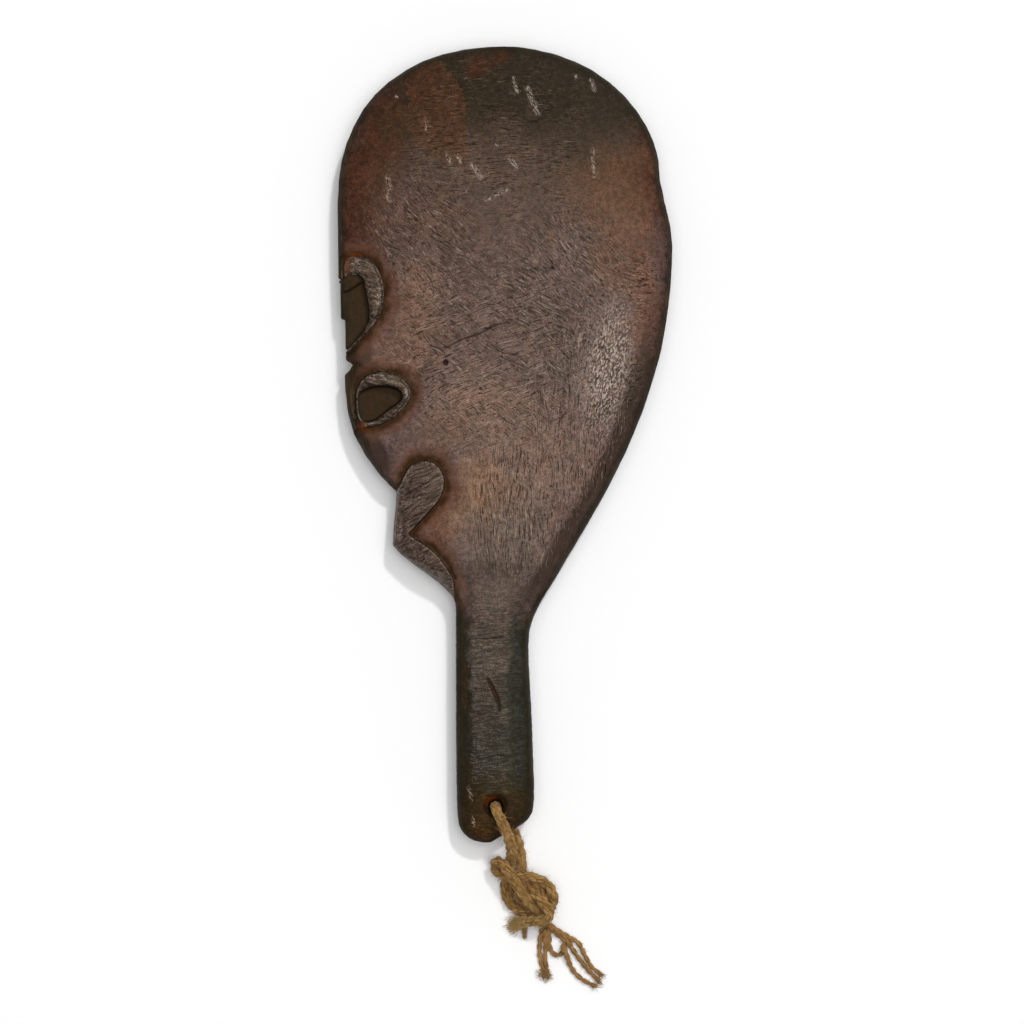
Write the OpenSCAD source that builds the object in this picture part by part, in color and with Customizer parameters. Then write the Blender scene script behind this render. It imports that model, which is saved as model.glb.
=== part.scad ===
// Hand club: a broad, flat blade and a round handle carved from one piece of hardwood,
// with a wrist cord of twisted plant fibre passed through the butt and knotted.
// It lies on its back. The blade tip points to +Y, the carved edge is at -X.

/* [Club] */
// Length of the wood from blade tip to butt
club_l = 381.2; // [379:0.2:383]
// Width of the blade
club_w = 160.5; // [159:0.5:162]

/* [Blade] */
// Reach of the plain edge where the rounding of the tip starts
shoulder_r = 74.6; // [73:0.2:76]
// Thickness at the middle of the blade
blade_t = 26; // [24:0.5:28]
// Squareness of the cross-section, where 2 is an ellipse
section_n = 2.6; // [2.2:0.1:3]
// Squareness of the tip on the carved side, where 2 is an ellipse
tip_n_l = 2.27; // [2:0.01:2.6]
// Squareness of the tip on the plain side, where 2 is an ellipse
tip_n_r = 2; // [2:0.05:2.6]
// Depth of the flat that is worn on the back
back_wear = 0.6; // [0.4:0.1:1]

/* [Handle] */
// Thickness of the grip
grip_t = 20; // [19:0.5:22]
// Thickness at the cord hole
butt_t = 15; // [14:0.5:15]
// Diameter of the cord hole
hole_d = 7.6; // [7:0.2:9]
// Diameter of the worn rim of the cord hole
rim_d = 12; // [11:0.5:13]

/* [Carving] */
// Depth of the ground beside each raised ridge
ground_depth = 3.4; // [2:0.2:4]
// Depth of the two pockets below the ridges
pocket_depth = 5; // [3:0.5:6]

/* [Cord] */
// Diameter of the cord
cord_d = 5.2; // [4.4:0.1:5.2]
// Diameter of one yarn of the unlaid end
yarn_d = 2.4; // [1.6:0.1:2.6]

/* [Hidden] */

mid_z = blade_t / 2 - back_wear;   // height of the middle plane of the wood
tip_y = club_l / 2 + 0.3;          // where the outline closes at the tip, just past the wood
butt_y = -club_l / 2 - 0.3;        // where it closes at the butt
reach = club_w / 2;                // furthest reach of either edge from the centre line
hole_at = [-4.5, -173.5];          // centre of the cord hole
section_sides = 32;                // points round one cross-section

// The rounded tip starts at these heights on each side.
tip_from_l = 115;
tip_from_r = 126;

// Each edge below the rounded tip, as [y, x].
left_edge = [
    [tip_from_l, -reach], [86, -80], [60, -78.5], [32, -76.6], [20, -76], [5, -72.5],
    [-10, -63.5], [-18, -56.8], [-22.5, -52], [-24, -52], [-48, -54], [-49, -53.5],
    [-62, -38], [-72, -25.5],
    [-76, -23.5], [-104, -23.5], [-170, -23], [-182, -22], [-186.5, -19.5], [-190, -14.5],
    [butt_y, -9]
];
right_edge = [
    [tip_from_r, shoulder_r], [95, reach], [80, reach - 0.4], [55, 77], [26, 69.5],
    [-5, 57.5], [-34, 42], [-62, 25.5], [-78, 16], [-88, 12], [-96, 11.2], [-136, 13.2],
    [-170, 14], [-176.5, 13], [-180, 11], [-188.5, -3], [butt_y, -7]
];
// Half thickness along the club, as [y, half thickness].
half_thick = [
    [tip_y + 1.5, 3.5], [187, 6.4], [178, 8.9], [160, 11], [135, 12.4], [105, blade_t / 2],
    [30, blade_t / 2], [-30, 0.47 * blade_t], [-65, 0.42 * blade_t], [-95, grip_t / 2],
    [-135, grip_t / 2], [-158, 0.55 * butt_t + 0.9], [hole_at.y, butt_t / 2],
    [-182, 0.42 * butt_t], [-188, 0.3 * butt_t], [butt_y, 0.2 * butt_t]
];
// Rows of cross-sections from tip to butt, closer together where the outline turns.
rows = concat(
    [club_l / 2],
    [for (a = [11:7:82]) tip_from_l + (tip_y - tip_from_l) * cos(a)],
    [for (y = [115:-10:-15]) y],
    [-19],
    [-22.5, -24, -30, -36, -42, -48, -49, -53, -60, -66, -72, -76, -82, -89, -96],
    [for (y = [-106:-10:-166]) y],
    [-170, -173.5, -176.5, -180, -182, -184.5, -186.5, -188.5, -189.8, -club_l / 2]
);

// Smooth value at y in a falling table of [y, value]; it never overshoots its points.
function row_of(t, y) = max([for (i = [0:len(t) - 2]) if (t[i][0] >= y || i == 0) i]);
function step_slope(t, i) = (t[i + 1][1] - t[i][1]) / (t[i + 1][0] - t[i][0]);
function slope(t, i) =
    i == 0 ? step_slope(t, 0) :
    i == len(t) - 1 ? step_slope(t, i - 1) :
    let (a = step_slope(t, i - 1), b = step_slope(t, i)) a * b <= 0 ? 0 : 2 * a * b / (a + b);
function table_at(t, y) =
    let (i = row_of(t, y), h = t[i + 1][0] - t[i][0], s = (y - t[i][0]) / h)
    (2 * pow(s, 3) - 3 * s * s + 1) * t[i][1] + (pow(s, 3) - 2 * s * s + s) * h * slope(t, i)
    + (3 * s * s - 2 * pow(s, 3)) * t[i + 1][1] + (pow(s, 3) - s * s) * h * slope(t, i + 1);

// Part of the full reach at a height between the start of the rounding and the tip.
function tip_part(y, from, n) = pow(max(0, 1 - pow((y - from) / (tip_y - from), n)), 1 / n);
function left_x(y) =
    y > tip_from_l ? -reach * tip_part(y, tip_from_l, tip_n_l) : table_at(left_edge, y);
function right_x(y) =
    y > tip_from_r ? shoulder_r * tip_part(y, tip_from_r, tip_n_r) : table_at(right_edge, y);
function mid_x(y) = (left_x(y) + right_x(y)) / 2;
function half_w(y) = (right_x(y) - left_x(y)) / 2;

// Height of the uncarved surface above the middle plane.
function crown(x, y) =
    table_at(half_thick, y)
    * pow(max(0.0001, 1 - pow(min(1, abs(x - mid_x(y)) / half_w(y)), section_n)), 1 / section_n);

// One cross-section of the blank, as points round a squared ellipse.
function signed_pow(v, p) = sign(v) * pow(abs(v), p);
function section(y) = [
    for (k = [0:section_sides - 1])
        let (a = 360 * (k + 0.5) / section_sides)
        [mid_x(y) + half_w(y) * signed_pow(cos(a), 2 / section_n), y,
         table_at(half_thick, y) * signed_pow(sin(a), 2 / section_n)]
];

// Closed skin over a list of rings that all have the same number of points.
module skin(rings) {
    n = len(rings[0]);
    last = len(rings) - 1;
    polyhedron(
        points = [for (ring = rings) each ring],
        faces = concat(
            [[for (k = [0:n - 1]) k]],
            [for (r = [0:last - 1]) for (k = [0:n - 1])
                [r * n + k, (r + 1) * n + k, r * n + (k + 1) % n]],
            [for (r = [0:last - 1]) for (k = [0:n - 1])
                [(r + 1) * n + k, (r + 1) * n + (k + 1) % n, r * n + (k + 1) % n]],
            [[for (k = [n - 1:-1:0]) last * n + k]]
        ),
        convexity = 10
    );
}

// ---- Carving. Heights are measured from the middle plane and cut both faces alike. ----

// Ridge outlines as [x, y, width of the ground beside it], with the ground on the left
// of the direction of travel.
crescent_rail = [
    [-76.6, 79.5, 3.5], [-77, 84, 4], [-76.2, 88.4, 5], [-73, 90.4, 6], [-68.5, 90, 6.5],
    [-64, 87.8, 7.5], [-60.8, 84, 9], [-58.7, 79, 10], [-57.8, 73, 10.5], [-58.3, 66.5, 10.5],
    [-60.2, 61, 10], [-64.5, 55.6, 9], [-69.6, 49.6, 7], [-76, 43, 5]
];
ring_rail = [
    [-70, 12, 3.5], [-71.2, 19, 4], [-70.8, 26, 5], [-67.8, 31.4, 5.5], [-62.5, 34.3, 6],
    [-56.5, 34.5, 7], [-50, 32, 8], [-45.9, 28, 9], [-45, 23.5, 9], [-47.6, 18.4, 9],
    [-52.6, 13.4, 8], [-58.6, 9.8, 7], [-66, 8, 5], [-80, 6.4, 4]
];
lobe_rail = [
    [-57, -33, 6], [-53.4, -25.5, 6.5], [-50, -19, 7], [-46.3, -12, 8], [-42.5, -8.8, 8.5],
    [-37, -8, 9], [-32.5, -10, 10], [-29.5, -14.5, 10], [-29, -20, 10], [-31.5, -26.5, 10],
    [-38, -34, 10], [-42, -38.2, 9], [-45.8, -42.6, 7]
];
band_rail = [
    [-46, -43, 6], [-42, -45.9, 9], [-37.4, -48.6, 10], [-32, -53.4, 9], [-27.6, -59.4, 7],
    [-24.6, -65, 4]
];
// Pocket floors, walked round once.
crescent_pocket = [
    [-86, 77], [-79, 78.6], [-74.5, 81], [-69.5, 81.2], [-67, 76], [-65.6, 70], [-64.6, 62.5],
    [-66, 57], [-70, 51.5], [-76, 45.5], [-86, 44]
];
crescent_step = [[-90, 71.4], [-75, 73.6], [-66, 79.5], [-62, 90], [-90, 90]];
ring_pocket = [
    [-70, 23.4], [-66.4, 26.4], [-61, 27.6], [-55.2, 27.5], [-50.8, 26.2], [-48.9, 23.4],
    [-50, 20.6], [-55, 17], [-59.4, 13.6], [-62.4, 11.6], [-67, 11.2], [-69.2, 13.6], [-70.3, 18]
];
// Bites cut right through the carved edge, walked round once.
notch = [[-90, 43], [-76, 40.4], [-72.4, 38.4], [-74, 35.4], [-77.5, 32.4], [-90, 28]];
upper_step = [[-90, 44], [-78.2, 44], [-78.4, 77.8], [-90, 78.6]];
lower_step = [[-90, 38], [-76, 38], [-76.3, 60], [-90, 61]];

step_rise = 1.6;      // how far the small step stands above its pocket floor
ring_rise = 1;        // how far the ring's pocket floor stands above the crescent's
above = 12;           // cutters reach this far above the surface
turns = 2;            // points on a rounded outline for each one listed
dish = [[0, 1], [0.35, 0.45], [0.7, 0.12], [1, -0.04]];   // [part of width, part of depth]

// Smooth curve through a list of points, with each stretch cut into parts.
function curve_at(p, i, t) =
    let (a = p[max(i - 1, 0)], b = p[i], c = p[i + 1], d = p[min(i + 2, len(p) - 1)])
    b + 0.5 * t * (c - a + t * (2 * a - 5 * b + 4 * c - d + t * (3 * b - a - 3 * c + d)));
function curve(p, parts) = concat(
    [for (i = [0:len(p) - 2]) for (k = [0:parts - 1]) curve_at(p, i, k / parts)],
    [p[len(p) - 1]]
);

// Unit vector to the left of the rail at one of its points.
function rail_side(rail, i) =
    let (a = rail[max(i - 1, 0)], b = rail[min(i + 1, len(rail) - 1)],
         d = [b.x - a.x, b.y - a.y])
    [-d.y, d.x] / norm(d);
function ground_ring(rail, i) =
    let (p = rail[i], side = rail_side(rail, i))
    concat(
        [for (s = dish)
            let (x = p.x + side.x * p.z * s[0], y = p.y + side.y * p.z * s[0])
            [x, y, max(1, crown(x, y) - ground_depth * s[1])]],
        [[p.x + side.x * p.z, p.y + side.y * p.z, blade_t / 2 + above],
         [p.x, p.y, blade_t / 2 + above]]
    );
module ground_cut(rail) {
    line = curve(rail, turns);
    skin([for (i = [0:len(line) - 1]) ground_ring(line, i)]);
}
// The pockets' floor is level, and its depth is measured beside the crescent.
floor_z = crown(-68, 60) - pocket_depth;
module pocket_cut(outline, rise = 0) {
    translate([0, 0, floor_z + rise]) linear_extrude(blade_t) polygon(curve(outline, turns));
}
module step_block() {
    translate([0, 0, floor_z + step_rise - blade_t]) linear_extrude(blade_t) polygon(crescent_step);
}
module edge_cut(outline) {
    translate([0, 0, -blade_t]) linear_extrude(2 * blade_t) polygon(outline);
}
module face_cuts() {
    ground_cut(crescent_rail);
    ground_cut(ring_rail);
    ground_cut(lobe_rail);
    ground_cut(band_rail);
    difference() {
        pocket_cut(crescent_pocket);
        step_block();
    }
    pocket_cut(concat(ring_pocket, [ring_pocket[0]]), ring_rise);
}
module cord_hole() {
    rim_h = (rim_d - hole_d) / 2;
    past = 1;   // the rim's cutter runs this far out of the wood, still at 45 degrees
    translate([hole_at.x, hole_at.y, -blade_t]) cylinder(d = hole_d, h = 2 * blade_t, $fn = 48);
    for (face = [0, 1])
        mirror([0, 0, face]) translate([hole_at.x, hole_at.y, butt_t / 2 - rim_h])
            cylinder(d1 = hole_d, d2 = rim_d + 2 * past, h = rim_h + past, $fn = 48);
}
module carved_blank() {
    difference() {
        skin([for (y = rows) section(y)]);
        face_cuts();
        mirror([0, 0, 1]) face_cuts();
        edge_cut(notch);
        edge_cut(upper_step);
        edge_cut(lower_step);
    }
}
// Everything below the ground, which takes off the worn flat of the back.
module below_ground() {
    translate([-club_w, -club_l, -blade_t]) cube([2 * club_w, 2 * club_l, blade_t]);
}
module club_body() {
    color("#4a3228") difference() {
        translate([0, 0, mid_z]) difference() {
            resize([club_w, club_l, blade_t]) carved_blank();
            cord_hole();
        }
        below_ground();
    }
}

// ---- Cord. Each route is the middle line of the cord, as [x, y, z]. ----

lay_z = cord_d / 2;    // middle of a cord that lies on the ground
yarn_z = yarn_d / 2;   // middle of a yarn that lies on the ground
front_route = [
    [-4.5, -173.5, 12.4], [-4.5, -173.5, 18], [-4.2, -174.3, 21.8], [-3, -177, 24.2],
    [-1, -181, 24.4], [1, -185.5, 23], [2.4, -190, 20], [3, -194.5, 15.2],
    [3, -199, 9.2], [2.3, -203.5, 4.6], [1, -208.5, 2.8], [0.4, -214, lay_z],
    [1.8, -219.5, lay_z], [6, -223.8, lay_z], [11.5, -225.8, lay_z], [17, -225.6, 2.9],
    [21.4, -223, 4.6], [23.2, -218.5, 6.8], [21.6, -213.4, 8.2], [17.6, -209.8, 8.6],
    [12, -207.8, 8.8], [6.5, -206.8, 9], [1.2, -206.4, 9.2], [-2.8, -205.8, 7.6],
    [-4.7, -203, 7.6], [-3.6, -200.3, 10.2], [-0.6, -201.6, 13.4], [2.4, -205.6, 14.6],
    [5.2, -210.2, 14], [8.2, -215, 12.6], [11.4, -219.6, 10.6], [14.8, -223.4, 8.8],
    [18, -227.6, 6.8], [19.6, -231.4, 3.6]
];
back_route = [
    [-4.5, -173.5, 12.4], [-4.5, -173.5, 7], [-4.1, -174.5, 3.9], [-2.4, -177.4, lay_z],
    [1, -181.6, lay_z], [4, -186.4, lay_z], [6.2, -191.6, lay_z], [7.4, -197, lay_z],
    [8, -202.4, lay_z], [8.2, -207.6, 2.7], [8.4, -212.8, lay_z], [10.4, -217.4, lay_z],
    [15, -219.4, lay_z], [19, -217, 3], [19.4, -212.8, 3.4], [15.8, -210.6, 3.8],
    [12.4, -212.8, 6.6], [15, -216.2, 10.8], [18.4, -219.8, 13.6], [21.4, -224.6, 12.6],
    [19.2, -228.2, 11.6], [14, -228.8, 10.4], [8.4, -229.6, 6.4]
];
bight_route = [
    [20.8, -232.6, 3.4], [21.2, -238, yarn_z], [21.6, -242.6, yarn_z], [24, -245.8, yarn_z],
    [27.4, -245.4, yarn_z], [29, -241.6, yarn_z], [27.4, -237.4, 1.6]
];
short_left_route = [
    [18.6, -232.4, 3.4], [17.4, -236.4, 1.6], [16.8, -241, yarn_z], [16.9, -247, yarn_z],
    [18.4, -253.6, yarn_z]
];
short_right_route = [
    [19.8, -233.2, 4.6], [19.5, -238, 2.6], [19.7, -242.6, yarn_z], [19.4, -248, yarn_z],
    [20.8, -256, yarn_z]
];
upper_route = [
    [21, -231, 4.8], [26, -234.6, 3.4], [31, -237.6, 2.4], [35.4, -240.4, yarn_z],
    [38.4, -246, yarn_z], [41.6, -251.6, yarn_z], [46, -255.2, yarn_z]
];
middle_route = [
    [20.6, -232, 2.4], [25, -235.8, 1.6], [29.6, -238.8, 2], [32.8, -243.6, yarn_z],
    [36.6, -249, yarn_z], [40.4, -253.8, yarn_z], [45, -258.4, yarn_z]
];
lower_route = [
    [27.6, -241, 3.2], [29.6, -245.6, 3.2], [31, -250.2, yarn_z], [34, -255, yarn_z],
    [38.4, -258.6, yarn_z], [43, -261, yarn_z]
];

// Directions along a route, and one vector across each that turns as little as it can.
function unit(v) = v / norm(v);
function headings(p) = [
    for (i = [0:len(p) - 1]) unit(p[min(i + 1, len(p) - 1)] - p[max(i - 1, 0)])
];
function across(t, i, u) =
    i == len(t) ? [] :
    let (v = unit(u - (u * t[i]) * t[i])) concat([v], across(t, i + 1, v));

module swept_cord(route, d, sides) {
    t = headings(route);
    u = across(t, 0, [1, 0.1, 0.2]);
    skin([for (i = [0:len(route) - 1]) [
        for (k = [0:sides - 1])
            let (a = 360 * k / sides)
            route[i] + d / 2 * (cos(a) * u[i] + sin(a) * cross(t[i], u[i]))
    ]]);
}
module cord(route) {
    color("#a9814c") swept_cord(route, cord_d, 10);
}
module yarn(route) {
    color("#b08a55") swept_cord(route, yarn_d, 8);
}

module cord_front() { cord(front_route); }
module cord_back() { cord(back_route); }
module yarn_bight() { yarn(bight_route); }
module tail_short_left() { yarn(short_left_route); }
module tail_short_right() { yarn(short_right_route); }
module tail_upper() { yarn(upper_route); }
module tail_middle() { yarn(middle_route); }
module tail_lower() { yarn(lower_route); }

// The cut end of the back leg, opened out into a flat tuft of fibre: [middle, diameter].
tuft_balls = [[[8.4, -229.6, 6.2], cord_d - 1], [[3.4, -231, 3], 5.4], [[5.4, -235, 2.2], 3.6]];
module frayed_end() {
    color("#c3a06c") hull() {
        for (ball = tuft_balls) translate(ball[0]) sphere(d = ball[1], $fn = 16);
    }
}

club_body();
cord_front();
cord_back();
frayed_end();
yarn_bight();
tail_short_left();
tail_short_right();
tail_upper();
tail_middle();
tail_lower();
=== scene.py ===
import math

import bpy
import numpy as np
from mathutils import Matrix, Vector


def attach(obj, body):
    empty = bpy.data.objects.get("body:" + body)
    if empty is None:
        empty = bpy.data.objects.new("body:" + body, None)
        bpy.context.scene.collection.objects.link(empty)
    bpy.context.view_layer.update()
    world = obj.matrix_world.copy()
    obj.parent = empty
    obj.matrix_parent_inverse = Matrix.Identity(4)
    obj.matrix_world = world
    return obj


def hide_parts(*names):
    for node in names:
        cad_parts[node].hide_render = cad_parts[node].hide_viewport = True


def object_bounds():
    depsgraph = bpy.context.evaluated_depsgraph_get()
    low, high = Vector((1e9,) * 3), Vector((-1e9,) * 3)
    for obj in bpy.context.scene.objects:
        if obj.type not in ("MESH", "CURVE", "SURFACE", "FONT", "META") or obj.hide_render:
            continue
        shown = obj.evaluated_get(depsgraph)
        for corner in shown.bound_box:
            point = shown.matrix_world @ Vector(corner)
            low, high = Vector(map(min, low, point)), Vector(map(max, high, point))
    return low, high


# Looks of a hand club carved from one piece of hardwood, with a knotted cord of plant fibre.
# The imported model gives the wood's shape. Outlines and routes in millimetres repeat those in
# the CAD source, and MM turns them into the scene's metres.

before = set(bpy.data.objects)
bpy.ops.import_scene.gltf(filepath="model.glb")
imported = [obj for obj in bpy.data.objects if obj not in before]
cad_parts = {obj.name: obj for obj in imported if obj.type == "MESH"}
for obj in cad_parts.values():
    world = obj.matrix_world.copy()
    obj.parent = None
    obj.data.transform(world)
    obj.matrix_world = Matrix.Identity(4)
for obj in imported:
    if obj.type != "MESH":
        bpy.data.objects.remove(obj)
MM = 0.001
SEED = 20
dice = np.random.default_rng(SEED)


def plain_bounds():
    """The shown object's box as lists of numbers."""
    return [[round(c, 6) for c in corner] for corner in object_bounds()]


cad_box = plain_bounds()
MID_Z = 12.4  # middle plane of the wood
HOLE_AT = (-4.5, -173.5)  # the cord hole
CORD_D = 5.2
YARN_D = 2.4
LAY_Z = CORD_D / 2  # middle of the cord where it lies on the floor
YARN_Z = YARN_D / 2  # and of a yarn
FIBRE_Z = 0.15  # and of the lowest loose fibre

FRONT_ROUTE = [
    (-4.5, -173.5, 12.4), (-4.5, -173.5, 18), (-4.2, -174.3, 21.8), (-3, -177, 24.2),
    (-1, -181, 24.4), (1, -185.5, 23), (2.4, -190, 20), (3, -194.5, 15.2),
    (3, -199, 9.2), (2.3, -203.5, 4.6), (1, -208.5, 2.8), (0.4, -214, LAY_Z),
    (1.8, -219.5, LAY_Z), (6, -223.8, LAY_Z), (11.5, -225.8, LAY_Z), (17, -225.6, 2.9),
    (21.4, -223, 4.6), (23.2, -218.5, 6.8), (21.6, -213.4, 8.2), (17.6, -209.8, 8.6),
    (12, -207.8, 8.8), (6.5, -206.8, 9), (1.2, -206.4, 9.2), (-2.8, -205.8, 7.6),
    (-4.7, -203, 7.6), (-3.6, -200.3, 10.2), (-0.6, -201.6, 13.4), (2.4, -205.6, 14.6),
    (5.2, -210.2, 14), (8.2, -215, 12.6), (11.4, -219.6, 10.6), (14.8, -223.4, 8.8),
    (18, -227.6, 6.8), (19.6, -231.4, 3.6),
]
BACK_ROUTE = [
    (-4.5, -173.5, 12.4), (-4.5, -173.5, 7), (-4.1, -174.5, 3.9), (-2.4, -177.4, LAY_Z),
    (1, -181.6, LAY_Z), (4, -186.4, LAY_Z), (6.2, -191.6, LAY_Z), (7.4, -197, LAY_Z),
    (8, -202.4, LAY_Z), (8.2, -207.6, 2.7), (8.4, -212.8, LAY_Z), (10.4, -217.4, LAY_Z),
    (15, -219.4, LAY_Z), (19, -217, 3), (19.4, -212.8, 3.4), (15.8, -210.6, 3.8),
    (12.4, -212.8, 6.6), (15, -216.2, 10.8), (18.4, -219.8, 13.6), (21.4, -224.6, 12.6),
    (19.2, -228.2, 11.6), (14, -228.8, 10.4), (8.4, -229.6, 6.4),
]
YARN_ROUTES = {
    "yarn_bight": [
        (20.8, -232.6, 3.4), (21.2, -238, YARN_Z), (21.6, -242.6, YARN_Z),
        (24, -245.8, YARN_Z), (27.4, -245.4, YARN_Z), (29, -241.6, YARN_Z), (27.4, -237.4, 1.6),
    ],
    "tail_short_left": [
        (18.6, -232.4, 3.4), (17.4, -236.4, 1.6), (16.8, -241, YARN_Z),
        (16.9, -247, YARN_Z), (18.4, -253.6, YARN_Z),
    ],
    "tail_short_right": [
        (19.8, -233.2, 4.6), (19.5, -238, 2.6), (19.7, -242.6, YARN_Z),
        (19.4, -248, YARN_Z), (20.8, -256, YARN_Z),
    ],
    "tail_upper": [
        (21, -231, 4.8), (26, -234.6, 3.4), (31, -237.6, 2.4), (35.4, -240.4, YARN_Z),
        (38.4, -246, YARN_Z), (41.6, -251.6, YARN_Z), (46, -255.2, YARN_Z),
    ],
    "tail_middle": [
        (20.6, -232, 2.4), (25, -235.8, 1.6), (29.6, -238.8, 2), (32.8, -243.6, YARN_Z),
        (36.6, -249, YARN_Z), (40.4, -253.8, YARN_Z), (45, -258.4, YARN_Z),
    ],
    "tail_lower": [
        (27.6, -241, 3.2), (29.6, -245.6, 3.2), (31, -250.2, YARN_Z), (34, -255, YARN_Z),
        (38.4, -258.6, YARN_Z), (43, -261, YARN_Z),
    ],
}

# Carved ridges and pockets, in millimetres. BEYOND closes an outline off the wood's left edge.
CRESCENT_RAIL = [
    (-76.6, 79.5), (-77, 84), (-76.2, 88.4), (-73, 90.4), (-68.5, 90), (-64, 87.8), (-60.8, 84),
    (-58.7, 79), (-57.8, 73), (-58.3, 66.5), (-60.2, 61), (-64.5, 55.6), (-69.6, 49.6), (-76, 43),
]
CRESCENT_BEYOND = [(-90, 43), (-90, 79)]
CRESCENT_POCKET = [
    (-86, 77), (-79, 78.6), (-74.5, 81), (-69.5, 81.2), (-67, 76), (-65.6, 70), (-64.6, 62.5),
    (-66, 57), (-70, 51.5), (-76, 45.5), (-86, 44),
]
RING_RAIL = [
    (-70, 12), (-71.2, 19), (-70.8, 26), (-67.8, 31.4), (-62.5, 34.3), (-56.5, 34.5), (-50, 32),
    (-45.9, 28), (-45, 23.5), (-47.6, 18.4), (-52.6, 13.4), (-58.6, 9.8), (-66, 8),
]
RING_POCKET = [
    (-70, 23.4), (-66.4, 26.4), (-61, 27.6), (-55.2, 27.5), (-50.8, 26.2), (-48.9, 23.4),
    (-50, 20.6), (-55, 17), (-59.4, 13.6), (-62.4, 11.6), (-67, 11.2), (-69.2, 13.6), (-70.3, 18),
]
LOBE_RAIL = [
    (-57, -33), (-53.4, -25.5), (-50, -19), (-46.3, -12), (-42.5, -8.8), (-37, -8),
    (-32.5, -10), (-29.5, -14.5), (-29, -20), (-31.5, -26.5), (-38, -34), (-42, -38.2),
    (-45.8, -42.6),
]
BAND_RAIL = [
    (-46, -43), (-42, -45.9), (-37.4, -48.6), (-32, -53.4), (-27.6, -59.4), (-24.6, -65),
]
LOBE_BEYOND = [(-24, -75), (-80, -60), (-80, -33)]


# ---- Camera, light and floor ----

VIEW_ACROSS = 0.4915  # what the picture takes in, at the height of the wood's middle
VIEW_FROM = 2.0  # camera above the object
OFF_MIDDLE = 0.0034  # the object lies this far left of and below the picture's middle
TENT_LIGHT = 0.25  # light from the tent overhead, where 1 is white
FLOOR_REACH = 6.0
FLOOR_Z = -0.0001  # just below the object, so that no faces coincide


def placed(name, data, location=(0, 0, 0)):
    """A new object in the scene."""
    thing = bpy.data.objects.new(name, data)
    thing.location = location
    bpy.context.scene.collection.objects.link(thing)
    return thing


def make_camera():
    middle = np.mean(cad_box, axis=0)
    data = bpy.data.cameras.new("overhead")
    data.angle = 2 * math.atan(VIEW_ACROSS / 2 / VIEW_FROM)
    data.clip_start = 0.01
    data.clip_end = 50
    place = (middle[0] + OFF_MIDDLE, middle[1] + OFF_MIDDLE, MID_Z * MM + VIEW_FROM)
    bpy.context.scene.camera = placed("overhead", data, place)


def sun(name, strength, spread, towards):
    """A lamp far away in a direction, seen from the object as a disc spread degrees wide."""
    data = bpy.data.lights.new(name, "SUN")
    data.energy = strength
    data.angle = math.radians(spread)
    east, north, up = towards
    turn = (math.atan2(math.hypot(east, north), up), 0, math.atan2(east, -north))
    placed(name, data, towards).rotation_euler = turn


def softbox(name, watts, size, place):
    """A square lamp facing straight down."""
    data = bpy.data.lights.new(name, "AREA")
    data.energy = watts
    data.size = size
    placed(name, data, place)


def make_world():
    """A dim white tent that is brighter towards the horizon."""
    world = bpy.data.worlds.new("tent")
    n = Nodes(world, "Background")
    up = n.add("ShaderNodeSeparateXYZ", {0: n.add("ShaderNodeTexCoord", {}, "Generated")}, "Z")
    n.set({"Strength": n.rise(up, 0, 0.35, 1.0, TENT_LIGHT), "Color": (1, 1, 1, 1)})
    bpy.context.scene.world = world


def make_studio():
    """A bright ceiling, a lamp from the upper right, a softbox for the polish, and the floor."""
    bpy.context.scene.view_settings.view_transform = "Standard"
    make_world()
    sun("ceiling", strength=1.35, spread=62, towards=(0.10, 0.05, 1))
    sun("key", strength=1.1, spread=5, towards=(0.34, 0.64, 1))
    softbox("softbox", watts=4.2, size=0.55, place=(0.16, 0.03, 1.7))

    mesh = bpy.data.meshes.new("floor")
    corners = [(FLOOR_REACH * x, FLOOR_REACH * y, 0) for x, y in ((-1, -1), (1, -1), (1, 1), (-1, 1))]
    mesh.from_pydata(corners, [], [(0, 1, 2, 3)])
    floor = placed("floor", mesh, (0, 0, FLOOR_Z))
    paper = Nodes(bpy.data.materials.new("floor_paper"))
    paper.set({"Base Color": (0.9, 0.9, 0.9, 1), "Roughness": 0.9, "Specular IOR Level": 0.1})
    mesh.materials.append(paper.owner)


# ---- Colour, noise and distance helpers ----

def linear(code):
    """A colour written as six hexadecimal digits, in the renderer's linear values."""
    parts = np.array([int(code[i:i + 2], 16) for i in (0, 2, 4)]) / 255
    return np.where(parts <= 0.04045, parts / 12.92, ((parts + 0.055) / 1.055) ** 2.4)


def colour(code):
    """The same with no transparency, as a node reads it."""
    return (*linear(code), 1)


def ramp(value, low, high):
    """0 below low and 1 above high, with a smooth rise between; high may be below low."""
    t = np.clip((value - low) / (high - low), 0, 1)
    return t * t * (3 - 2 * t)


def lumps(points, size, seed):
    """Smooth noise from -1 to 1 at each point, its lumps about size across."""
    grid = points / np.array(size, float)
    cell = np.floor(grid).astype(np.int64)
    part = grid - cell
    part = part * part * (3 - 2 * part)
    total = np.zeros(len(points))
    for corner in np.ndindex(2, 2, 2):
        at = cell + np.array(corner)
        code = at[:, 0] * 73856093 ^ at[:, 1] * 19349663 ^ at[:, 2] * 83492791 ^ seed * 2654435
        code = (code ^ code >> 13) * 1274126177 & 0xFFFFFFFF
        code = (code ^ code >> 16) & 0xFFFF
        weight = np.prod(np.where(np.array(corner) == 1, part, 1 - part), axis=1)
        total += weight * (code / 32767.5 - 1)
    return total


def curved(p, parts):
    """A smooth curve from the second point to the last but one, in so many parts between points."""
    made = []
    for a, b, c, d in zip(p, p[1:], p[2:], p[3:]):
        for t in np.arange(parts) / parts:
            bend = 2 * a - 5 * b + 4 * c - d + t * (3 * b - a - 3 * c + d)
            made.append(b + 0.5 * t * (c - a + t * bend))
    return made + [p[-2]]


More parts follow.
